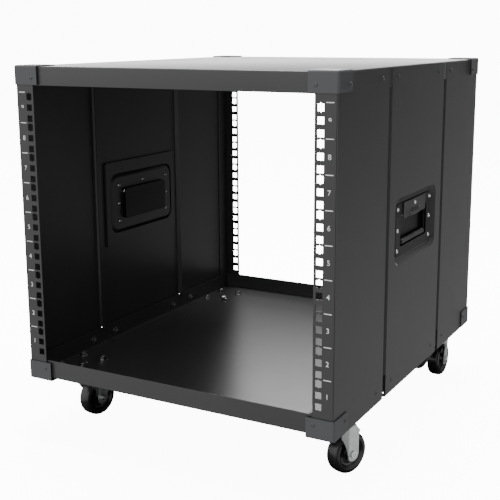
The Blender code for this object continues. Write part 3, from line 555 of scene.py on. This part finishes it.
for side, sx in SIDES.items():
    low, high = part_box("handle_dish_" + side)
    flange_x = high.x if sx > 0 else low.x
    bm = bmesh.new()
    spots = [
        (flange_x, sy * 70 * MM, z) for sy in (-1, 1)
        for z in (297.5 * MM, 328 * MM, 359.5 * MM)
    ]
    flap_x = flange_x + sx * 1.5 * MM
    spots.append((flap_x, 0, 360.5 * MM))
    for spot in spots:
        rivet_dome(bm, facing(spot, (sx, 0, 0)), 3.3 * MM, 1.5 * MM)
        back = (flange_x - sx * 2.8 * MM, spot[1], spot[2])
        rivet_dome(bm, facing(back, (-sx, 0, 0)), 2.6 * MM, 2.0 * MM, 0.45)
    smooth(piece("handle_rivets_" + side, bm, LOOKS["bright_steel"], "case", "bright_steel"))


# -------------------------------------------------------------------- handles


def handle_parts(side):
    """The bail, its grip, the hinge pin and the spring of one handle."""
    sx = SIDES[side]
    body = body_of("handle_bail_" + side)
    hinge = Vector(JOINTS["handle_" + side]["pos_m"])
    bail_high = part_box("handle_bail_" + side)[1]
    grip_low, grip_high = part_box("handle_grip_" + side)
    grip_mid = (grip_low + grip_high) / 2
    thick = 3 * MM
    bm = bmesh.new()
    drop = grip_mid.z - hinge.z
    for sy in (-1, 1):
        middle = sy * (bail_high.y - 0.1 * MM - thick / 2)
        wide = 2.75 * MM
        outline = arc(0, 0, wide, 0, 180, 10)
        outline += arc(0, drop, wide, 180, 360, 10)
        hole = Matrix.Translation((hinge.x, middle, hinge.z)) @ Matrix.Rotation(math.pi / 2, 4, "X")
        prism(bm, outline, -thick / 2, thick / 2, hole)
    arms = smooth(piece("bail_arms_" + side, bm, LOOKS["handle_coat"], body, "handle_coat",
                        "handle_bail_" + side))
    bevel(arms, 0.5 * MM, 3, 40)
    bm = bmesh.new()
    lie = Matrix.Translation((grip_mid.x, 0, grip_mid.z)) @ Matrix.Rotation(math.pi / 2, 4, "X")
    reach = bail_high.y - thick * 0.4
    turned(bm, [
        (0, reach), (1.8 * MM, reach), (2.2 * MM, reach - 0.4 * MM),
        (2.2 * MM, 0.4 * MM - reach), (1.8 * MM, -reach), (0, -reach),
    ], 20, lie, closed=False)
    smooth(piece("bail_rod_" + side, bm, LOOKS["handle_coat"], body, "handle_coat"))
    bm = bmesh.new()
    half = (grip_high.y - grip_low.y) / 2
    radius = (grip_high.z - grip_low.z) / 2
    stations = [(-half, 0.86), (-half + 0.5 * MM, 0.97), (-half + 1.2 * MM, 1.0)]
    stations += [(-half + 3.4 * MM, 1.0), (-half + 4.0 * MM, 0.9), (-half + 4.8 * MM, 0.9)]
    stations += [(-s, k) for s, k in reversed(stations)]
    sides = 72
    rings = []
    for along, share in stations:
        ring = []
        for k in range(sides):
            angle = 2 * math.pi * k / sides
            flute = 0.045 * (0.5 + 0.5 * math.cos(9 * angle)) if share < 0.95 else 0.0
            r = radius * (share + (0.055 if share < 0.95 and share > 0.88 else 0) - flute)
            spot = (r * math.cos(angle), r * math.sin(angle), along)
            ring.append(bm.verts.new(lie @ Vector(spot)))
        rings.append(ring)
    bore = 2.5 * MM
    for along in (half, -half):
        rings.append([
            bm.verts.new(lie @ Vector((
                bore * math.cos(2 * math.pi * k / sides),
                bore * math.sin(2 * math.pi * k / sides), along,
            )))
            for k in range(sides)
        ])
    for a, b in zip(rings, rings[1:] + rings[:1]):
        for k in range(sides):
            n = (k + 1) % sides
            bm.faces.new((a[k], a[n], b[n], b[k]))
    smooth(piece("grip_sleeve_" + side, bm, LOOKS["grip_rubber"], body, "grip_rubber",
                 "handle_grip_" + side), 50)
    pin_low, pin_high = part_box("handle_pin_" + side)
    bm = bmesh.new()
    lie = Matrix.Translation((hinge.x, 0, hinge.z)) @ Matrix.Rotation(math.pi / 2, 4, "X")
    end = pin_high.y
    rise = 0.8 * MM
    turned(bm, [
        (0, end), (1.1 * MM, end - 0.1 * MM), (1.75 * MM, end - 0.45 * MM),
        (1.95 * MM, end - rise), (1.5 * MM, end - rise), (1.5 * MM, rise - end),
        (1.95 * MM, rise - end), (1.75 * MM, 0.45 * MM - end),
        (1.1 * MM, 0.1 * MM - end), (0, -end),
    ], 24, lie, closed=False)
    smooth(piece("hinge_pin_" + side, bm, LOOKS["bright_steel"], "case", "bright_steel",
                 "handle_pin_" + side))
    spring_low, spring_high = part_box("handle_spring_" + side)
    curve = bpy.data.curves.new("return_spring_" + side, "CURVE")
    curve.dimensions = "3D"
    curve.bevel_depth = 0.42 * MM
    curve.bevel_resolution = 3
    curve.use_fill_caps = True
    line = curve.splines.new("POLY")
    turns, per_turn, radius = 7, 18, 2.25 * MM
    half = (spring_high.y - spring_low.y) / 2 - 0.5 * MM
    points = []
    for k in range(turns * per_turn + 1):
        angle = 2 * math.pi * k / per_turn
        along = -half + 2 * half * k / (turns * per_turn)
        points.append((radius * math.cos(angle), along, radius * math.sin(angle)))
    points.append((points[-1][0], half, -7 * MM))
    points.insert(0, (points[0][0], -half, 2.6 * MM))
    line.points.add(len(points) - 1)
    for slot, (x, y, z) in zip(line.points, points):
        slot.co = (x * 0.9, y, z, 1)
    curve.materials.append(LOOKS["spring_steel"])
    spring = bpy.data.objects.new("return_spring_" + side, curve)
    spring.location = hinge
    PIECES.objects.link(spring)
    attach(spring, "case")
    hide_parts("handle_spring_" + side)


def flap_skin(side):
    """The cover over the hinge, with a softly pressed rise in its middle."""
    sx = SIDES[side]
    low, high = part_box("handle_flap_" + side)
    base_x = (low.x if sx > 0 else high.x) + sx * 1.2 * MM
    rise, slope = 1.9 * MM, 5 * MM
    columns, rows = 64, 20
    bm = bmesh.new()
    grid = []
    for j in range(rows + 1):
        z = low.z + (high.z - low.z) * j / rows
        line = []
        for i in range(columns + 1):
            y = low.y + (high.y - low.y) * i / columns
            inside = min(20 * MM - abs(y), 353.5 * MM - z) / slope
            share = min(1, max(0, inside))
            lift = rise * share * share * (3 - 2 * share)
            line.append(bm.verts.new((base_x + sx * lift, y, z)))
        grid.append(line)
    for below, above in zip(grid, grid[1:]):
        for i in range(columns):
            corners = (below[i], below[i + 1], above[i + 1], above[i])
            bm.faces.new(corners if sx > 0 else corners[::-1])
    mesh = bpy.data.meshes.new("flap_" + side)
    bm.to_mesh(mesh)
    bm.free()
    mesh.materials.append(FLAP_LOOK)
    made = bpy.data.objects.new("flap_" + side, mesh)
    PIECES.objects.link(made)
    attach(made, "case")
    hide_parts("handle_flap_" + side)
    sheet = made.modifiers.new("sheet", "SOLIDIFY")
    sheet.thickness = 1.1 * MM
    sheet.offset = -1
    smooth(made, 40)
    bevel(made, 0.3 * MM, 2, 50)


for side in SIDES:
    handle_parts(side)
    flap_skin(side)


# -------------------------------------------------------------------- casters

TRAIL = 28.3 * MM
WHEEL_R = 31 * MM
FOLD_S = 19.6 * MM
FLARE = math.tan(math.radians(24))
LEG_IN = 12 * MM
LEG_SHEET = 1.9 * MM


def trail_frame(place):
    """The caster's own frame: +X the trail direction, Z up, on the floor."""
    pivot = Vector(JOINTS["swivel_" + place]["pos_m"])
    hub = Vector(JOINTS["wheel_" + place]["pos_m"])
    turn = math.atan2(hub.y - pivot.y, hub.x - pivot.x)
    return Matrix.Translation((pivot.x, pivot.y, 0)) @ Matrix.Rotation(turn, 4, "Z")


def caster_fork(place, base):
    """The pressed fork: domed crown, its tail and the two folded legs."""
    bm = bmesh.new()
    top = 73.5 * MM
    outline = [(-3 * MM, top), (-3 * MM, 64 * MM), (0.6 * MM, 60 * MM)]
    outline += [(7.8 * MM, 50.5 * MM), (14.4 * MM, 40 * MM)]
    outline += arc(TRAIL, WHEEL_R, 11 * MM, 200, 360, 16)
    outline += [(39.5 * MM, 58 * MM)]
    outline += arc(37.6 * MM, 63.5 * MM, 4.2 * MM, -50, 80, 8)
    outline += [(34.5 * MM, top)]
    for sy in (-1, 1):
        leg = bmesh.new()
        ring = [leg.verts.new((s, 0, z)) for s, z in outline]
        leg.faces.new(ring)
        for shift in (-0.9, -0.45, 0, 0.45, 0.9):
            bmesh.ops.bisect_plane(
                leg, geom=leg.verts[:] + leg.edges[:] + leg.faces[:],
                plane_co=(FOLD_S + shift * MM, 0, 0), plane_no=(1, 0, 0),
            )
        grown = bmesh.ops.extrude_face_region(leg, geom=leg.faces[:], use_keep_orig=True)["geom"]
        for vert in (g for g in grown if isinstance(g, bmesh.types.BMVert)):
            vert.co.y = LEG_SHEET
        for vert in leg.verts:
            ahead = (FOLD_S - vert.co.x) / MM
            soft = 0.9
            bend = 0.0
            if ahead >= soft:
                bend = ahead
            elif ahead > -soft:
                bend = (ahead + soft) ** 2 / (4 * soft)
            groove = 0.55 * max(0.0, 1 - (ahead / 0.9) ** 2)
            vert.co.y = sy * (LEG_IN + vert.co.y + (bend * FLARE - groove) * MM)
        leg.transform(base)
        mesh = bpy.data.meshes.new("leg")
        bmesh.ops.recalc_face_normals(leg, faces=leg.faces[:])
        leg.to_mesh(mesh)
        leg.free()
        bm.from_mesh(mesh)
        bpy.data.meshes.remove(mesh)
    tail = [(0, -13.9 * MM), (32 * MM, -13.9 * MM)]
    tail += arc(33 * MM, -11.4 * MM, 2.5 * MM, -90, 0, 4)
    tail += arc(33 * MM, 11.4 * MM, 2.5 * MM, 0, 90, 4)
    tail += [(0, 13.9 * MM)]
    prism(bm, tail, 71.6 * MM, 73.9 * MM, base)
    legs = smooth(piece("fork_legs_" + place, bm, LOOKS["zinc"], "swivel_" + place, "zinc",
                        "caster_fork_" + place), 24)
    bevel(legs, 0.45 * MM, 2, 40)
    bm = bmesh.new()
    turned(bm, [
        (5.3 * MM, 71 * MM), (22.5 * MM, 71 * MM), (24 * MM, 71.5 * MM),
        (24.5 * MM, 73 * MM), (24.5 * MM, 76 * MM), (24 * MM, 78 * MM),
        (22.8 * MM, 79.6 * MM), (21 * MM, 80.4 * MM), (17 * MM, 80.4 * MM),
        (16 * MM, 79 * MM), (12 * MM, 79 * MM), (11 * MM, 80.4 * MM), (5.3 * MM, 80.4 * MM),
    ], 72, base)
    smooth(piece("fork_crown_" + place, bm, LOOKS["zinc"], "swivel_" + place, "zinc"), 30)


def caster_axle(place, base):
    """A hexagon bolt through the fork, and its lock nut."""
    bm = bmesh.new()
    lie = base @ Matrix.Translation((TRAIL, 0, WHEEL_R)) @ Matrix.Rotation(math.pi / 2, 4, "X")
    face = LEG_IN + LEG_SHEET
    turned(bm, [
        (0, face + 1.6 * MM), (1.5 * MM, face + 1.7 * MM), (2.1 * MM, face + 3.6 * MM),
        (2.6 * MM, face + 3.6 * MM), (3 * MM, face + 3.2 * MM),
        (3 * MM, -face - 2.6 * MM), (2.6 * MM, -face - 3 * MM), (0, -face - 3 * MM),
    ], 24, lie, closed=False)
    for sz, height in ((1, 2.9 * MM), (-1, 2.4 * MM)):
        low, high = sorted((sz * (face + 0.15 * MM), sz * (face + height)))
        prism(bm, hexagon(5.5 * MM, 0.35), low, high, lie)
    bolt = smooth(piece("axle_bolt_" + place, bm, LOOKS["bright_steel"], "swivel_" + place,
                        "bright_steel", "caster_axle_" + place), 30)
    bevel(bolt, 0.35 * MM, 2, 40)


def caster_wheel(place, base):
    """The moulded wheel: a rounded tread, dished sides and a raised hub."""
    bm = bmesh.new()
    lie = base @ Matrix.Translation((TRAIL, 0, WHEEL_R)) @ Matrix.Rotation(math.pi / 2, 4, "X")
    half = [
        (3.4, 11.2), (6.6, 11.2), (7.4, 10.9), (7.9, 10.2), (8.4, 7.6), (9.2, 6.3), (10.4, 5.8),
        (13.0, 5.6), (15.6, 5.6), (18.2, 5.8), (19.4, 6.3), (20.2, 7.2), (20.8, 8.4), (21.6, 9.2),
        (22.8, 10.6), (24.4, 11.0), (26.2, 10.8), (27.9, 10.2), (29.2, 9.2), (30.1, 7.8),
        (30.6, 6.2), (30.85, 4.2), (30.97, 1.9),
    ]
    profile = [(r * MM, z * MM) for r, z in half]
    profile += [(31 * MM, 0)]
    profile += [(r * MM, -z * MM) for r, z in reversed(half)]
    turned(bm, profile, 120, lie)
    smooth(piece("wheel_" + place, bm, LOOKS["wheel_plastic"], "wheel_" + place,
                 "wheel_plastic", "caster_wheel_" + place), 35)


def caster_plate(place):
    """The top plate with its race, and the bolts, washers and nuts in the tray."""
    low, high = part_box("caster_plate_" + place)
    x, y = (low.x + high.x) / 2, (low.y + high.y) / 2
    half_x, half_y = (high.x - low.x) / 2, (high.y - low.y) / 2
    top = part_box("base_tray")[0].z - 0.3 * MM
    bottom = top - 2.5 * MM
    r = 5 * MM
    outline = []
    for sx, sy, start in ((1, 1, 0), (-1, 1, 90), (-1, -1, 180), (1, -1, 270)):
        outline += arc(x + sx * (half_x - r), y + sy * (half_y - r), r, start, start + 90, 6)
    bm = bmesh.new()
    prism(bm, outline, bottom, top, Matrix.Identity(4))
    stand = Matrix.Translation((x, y, 0))
    turned(bm, [
        (5.4 * MM, bottom + 0.2 * MM), (22.5 * MM, bottom + 0.2 * MM), (22.5 * MM, bottom - 1 * MM),
        (22 * MM, 84 * MM), (21.4 * MM, 82 * MM), (20 * MM, 81.3 * MM), (5.4 * MM, 81.3 * MM),
    ], 64, stand)
    plate = smooth(piece("top_plate_" + place, bm, LOOKS["zinc"], "case", "zinc",
                         "caster_plate_" + place), 30)
    bevel(plate, 0.4 * MM, 2, 40)
    bm = bmesh.new()
    floor = TRAY_FLOOR
    for sx in (-1, 1):
        for sy in (-1, 1):
            spin = 0.4 + 1.3 * sx + 0.7 * sy
            at = Matrix.Translation((x + sx * 20 * MM, y + sy * 26.75 * MM, 0))
            nut = at @ Matrix.Rotation(spin, 4, "Z")
            turned(bm, [
                (3.2 * MM, floor), (6.9 * MM, floor), (7.1 * MM, floor + 0.3 * MM),
                (6.9 * MM, floor + 0.9 * MM), (3.2 * MM, floor + 0.9 * MM),
            ], 32, at)
            prism(bm, hexagon(5.7 * MM), floor + 0.9 * MM, floor + 4.9 * MM, nut)
            shank = [(0, high.z), (2.4 * MM, high.z)]
            steps = 7
            start = floor + 4.6 * MM
            pitch = (high.z - 0.5 * MM - start) / steps
            for k in range(steps):
                shank.append((3.0 * MM, high.z - 0.5 * MM - pitch * k))
                shank.append((2.65 * MM, high.z - 0.5 * MM - pitch * (k + 0.5)))
            shank += [(3.0 * MM, start), (3.0 * MM, bottom - 0.2 * MM)]
            shank += [(0, bottom - 0.2 * MM)]
            turned(bm, shank, 20, at, closed=False)
            prism(bm, hexagon(5.4 * MM), bottom - 2.6 * MM, bottom, nut)
    bolts = smooth(piece("plate_bolts_" + place, bm, BOLT_LOOK, "case", "zinc"), 30)
    bevel(bolts, 0.35 * MM, 2, 50)
    pin_low, pin_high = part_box("caster_kingpin_" + place)
    bm = bmesh.new()
    turned(bm, [
        (0, pin_high.z), (3.5 * MM, pin_high.z), (5.2 * MM, pin_high.z - 0.4 * MM),
        (6.9 * MM, pin_high.z - 1.2 * MM), (7.9 * MM, pin_high.z - 2.4 * MM),
        (7.9 * MM, pin_high.z - 3 * MM), (5 * MM, pin_high.z - 3 * MM),
        (5 * MM, pin_low.z + 3 * MM), (7.9 * MM, pin_low.z + 3 * MM),
        (7.9 * MM, pin_low.z + 2.4 * MM), (6.9 * MM, pin_low.z + 1 * MM),
        (4.6 * MM, pin_low.z), (0, pin_low.z),
    ], 40, stand, closed=False)
    smooth(piece("kingpin_" + place, bm, BOLT_LOOK, "case", "zinc",
                 "caster_kingpin_" + place), 30)


def brake_pedal(place, base):
    """The foot lever: a ribbed pad, a neck, a barrel on its stubs, a shoe."""
    pin = Matrix.Translation((2 * MM, 0, 64.5 * MM))
    fall, reach = 20 * MM, 80 * MM
    far = math.hypot(fall, reach)
    lay = base @ pin @ Matrix.Rotation(-math.atan2(fall, reach), 4, "Y")
    outline = [(-1 * MM, 8.5 * MM), (-1 * MM, -8.5 * MM)]
    outline += [(-x, -y) for x, y in arc(far - 7.6 * MM, 0, 7.6 * MM, 90, -90, 14)]
    bm = bmesh.new()
    prism(bm, outline, -1.4 * MM, 1.2 * MM, lay)
    for k in range(7):
        s = 5.6 * MM + 4.2 * MM * k - far
        rib = [(s, -6.2 * MM), (s + 1.6 * MM, -6.2 * MM), (s + 1.6 * MM, 6.2 * MM), (s, 6.2 * MM)]
        prism(bm, rib, 1.1 * MM, 1.9 * MM, lay)
    for sy in (-1, 1):
        low, high = sorted((sy * 6.4 * MM, sy * 7.6 * MM))
        s = 12 * MM - far
        rail = [(s, low), (-1 * MM, low), (-1 * MM, high), (s, high)]
        prism(bm, rail, -4.2 * MM, 0, lay)
    lie = base @ pin @ Matrix.Rotation(math.pi / 2, 4, "X")
    turned(bm, [
        (0, 23.4 * MM), (1.45 * MM, 23.4 * MM), (1.45 * MM, 18.6 * MM), (2.6 * MM, 18.5 * MM),
        (2.6 * MM, -18.5 * MM), (1.45 * MM, -18.6 * MM), (1.45 * MM, -23.4 * MM), (0, -23.4 * MM),
    ], 28, lie, closed=False)
    shoe = [(-1.5 * MM, 0), (-1.5 * MM, -11.6 * MM)]
    shoe += arc(-0.5 * MM, -11.4 * MM, 1 * MM, 180, 270, 4)
    shoe += arc(0.5 * MM, -11.4 * MM, 1 * MM, 270, 360, 4)
    shoe += [(1.5 * MM, 0)]
    prism(bm, shoe, -7.4 * MM, 7.4 * MM, lie)
    pedal = smooth(piece("pedal_" + place, bm, LOOKS["pedal_plastic"], "brake_" + place,
                         "pedal_plastic", "caster_brake_" + place), 30)
    bevel(pedal, 0.35 * MM, 2, 40)


for place in PLACES:
    base = trail_frame(place)
    caster_fork(place, base)
    caster_axle(place, base)
    caster_wheel(place, base)
    caster_plate(place)
    if place.startswith("rear"):
        brake_pedal(place, base)


# ----------------------------------------------------- floor, lights and camera


def floor_sheet():
    """Seamless paper: flat under the case, curving up far past it."""
    bm = bmesh.new()
    profile = [
        (0, 0), (2.5, 0), (5, 0), (6.5, 0), (7.4, 0.15), (8.2, 0.6), (8.8, 1.4), (9, 2.6), (9, 6),
    ]
    turned(bm, profile, 64, Matrix.Identity(4), closed=False)
    bmesh.ops.recalc_face_normals(bm, faces=bm.faces[:])
    if bm.faces[0].normal.z < 0:
        bmesh.ops.reverse_faces(bm, faces=bm.faces[:])
    mesh = bpy.data.meshes.new("studio_floor")
    bm.to_mesh(mesh)
    bm.free()
    mesh.materials.append(floor_paper("floor_look"))
    mesh.shade_smooth()
    made = bpy.data.objects.new("studio_floor", mesh)
    bpy.context.scene.collection.objects.link(made)
    made.visible_diffuse = False
    made.visible_glossy = False


def shade_card():
    """A dark card under the case, standing in for the shadowed floor as painted shade in what the casters mirror;
    not seen itself.
    """
    bm = bmesh.new()
    bmesh.ops.create_grid(bm, x_segments=4, y_segments=4, size=0.5)
    bmesh.ops.scale(bm, vec=(0.56, 0.64, 1), verts=bm.verts[:])
    bmesh.ops.translate(bm, vec=(0, 0, 0.2 * MM), verts=bm.verts[:])
    mesh = bpy.data.meshes.new("shade_card")
    bm.to_mesh(mesh)
    bm.free()
    mesh.materials.append(rubber("painted_shade_card_look", (0.03, 0.03, 0.03)))
    made = bpy.data.objects.new("shade_card", mesh)
    bpy.context.scene.collection.objects.link(made)
    made.visible_camera = False
    made.visible_shadow = False


def area_light(name, location, target, size, power, colour=(1, 1, 1)):
    light = bpy.data.lights.new(name, "AREA")
    light.shape = "RECTANGLE"
    light.size, light.size_y = size
    light.energy = power
    light.color = colour
    made = bpy.data.objects.new(name, light)
    made.location = location
    aim = Vector(target) - Vector(location)
    made.rotation_euler = aim.to_track_quat("-Z", "Y").to_euler()
    bpy.context.scene.collection.objects.link(made)
    return made


class Sky:
    """A studio surround whose brightness depends on direction alone."""

    def __init__(self):
        world = bpy.data.worlds.new("studio")
        world.use_nodes = True
        bpy.context.scene.world = world
        self.tree = world.node_tree
        self.where = self.tree.nodes.new("ShaderNodeTexCoord").outputs["Generated"]

    def ramp(self, towards, start, stop, low, high):
        """A value that goes from low to high as the direction nears another."""
        dot = self.tree.nodes.new("ShaderNodeVectorMath")
        dot.operation = "DOT_PRODUCT"
        self.tree.links.new(self.where, dot.inputs[0])
        dot.inputs[1].default_value = Vector(towards).normalized()
        made = self.tree.nodes.new("ShaderNodeMapRange")
        made.interpolation_type = "SMOOTHSTEP"
        self.tree.links.new(dot.outputs["Value"], made.inputs["Value"])
        for name, value in (
            ("From Min", start), ("From Max", stop), ("To Min", low), ("To Max", high),
        ):
            made.inputs[name].default_value = value
        return made.outputs["Result"]

    def join(self, operation, a, b):
        made = self.tree.nodes.new("ShaderNodeMath")
        made.operation = operation
        self.tree.links.new(a, made.inputs[0])
        self.tree.links.new(b, made.inputs[1])
        return made.outputs["Value"]


def studio_sky():
    """White wall behind, dim room at the right, a soft open ceiling."""
    sky = Sky()
    above = (0, 0, 1)
    wall = sky.join(
        "MULTIPLY", sky.ramp((-0.474, 0.858, 0), 0.78, 0.94, 0, 8.2),
        sky.ramp(above, 0.05, 0.33, 1, 0.035),
    )
    front = sky.join(
        "MULTIPLY", sky.ramp((-0.474, -0.858, 0), 0.1, 0.95, 0, 1.2),
        sky.ramp(above, -0.3, 0.05, 0.38, 1.2),
    )
    room = sky.join(
        "ADD", sky.ramp(above, -0.36, 0, 0.5, 0.05), sky.ramp(above, 0, 0.9, 0, 0.7),
    )
    side = sky.ramp((0.94, 0.3, -0.15), 0.93, 0.99, 0, 1.3)
    total = sky.join("ADD", sky.join("ADD", room, side), sky.join("ADD", wall, front))
    background = sky.tree.nodes["Background"]
    sky.tree.links.new(total, background.inputs["Strength"])
    background.inputs["Color"].default_value = (1, 1, 1, 1)


floor_sheet()
shade_card()
studio_sky()
area_light("key", (1.9, -1.6, 2.2), (0.1, -0.1, 0.3), (1.6, 1.6), 1.5)
area_light("ceiling", (-0.2, 0.4, 2.6), (0, 0, 0.3), (1.8, 1.8), 150)

camera = bpy.data.cameras.new("camera")
camera.lens = 68.19
camera.sensor_width = 36
camera.shift_x = -0.0058
camera.shift_y = -0.0489
camera.clip_end = 60
viewer = bpy.data.objects.new("camera", camera)
azimuth, elevation, roll = (math.radians(v) for v in (28.906, 11.527, -0.269))
back = Vector((
    math.sin(azimuth) * math.cos(elevation),
    -math.cos(azimuth) * math.cos(elevation),
    math.sin(elevation),
))
right = Vector((math.cos(azimuth), math.sin(azimuth), 0))
up = back.cross(right)
turned_right = right * math.cos(roll) + up * math.sin(roll)
turned_up = up * math.cos(roll) - right * math.sin(roll)
viewer.matrix_world = Matrix.Translation((0.7195, -1.3523, 0.6126)) @ Matrix((
    turned_right, turned_up, back,
)).transposed().to_4x4()
bpy.context.scene.collection.objects.link(viewer)
bpy.context.scene.camera = viewer
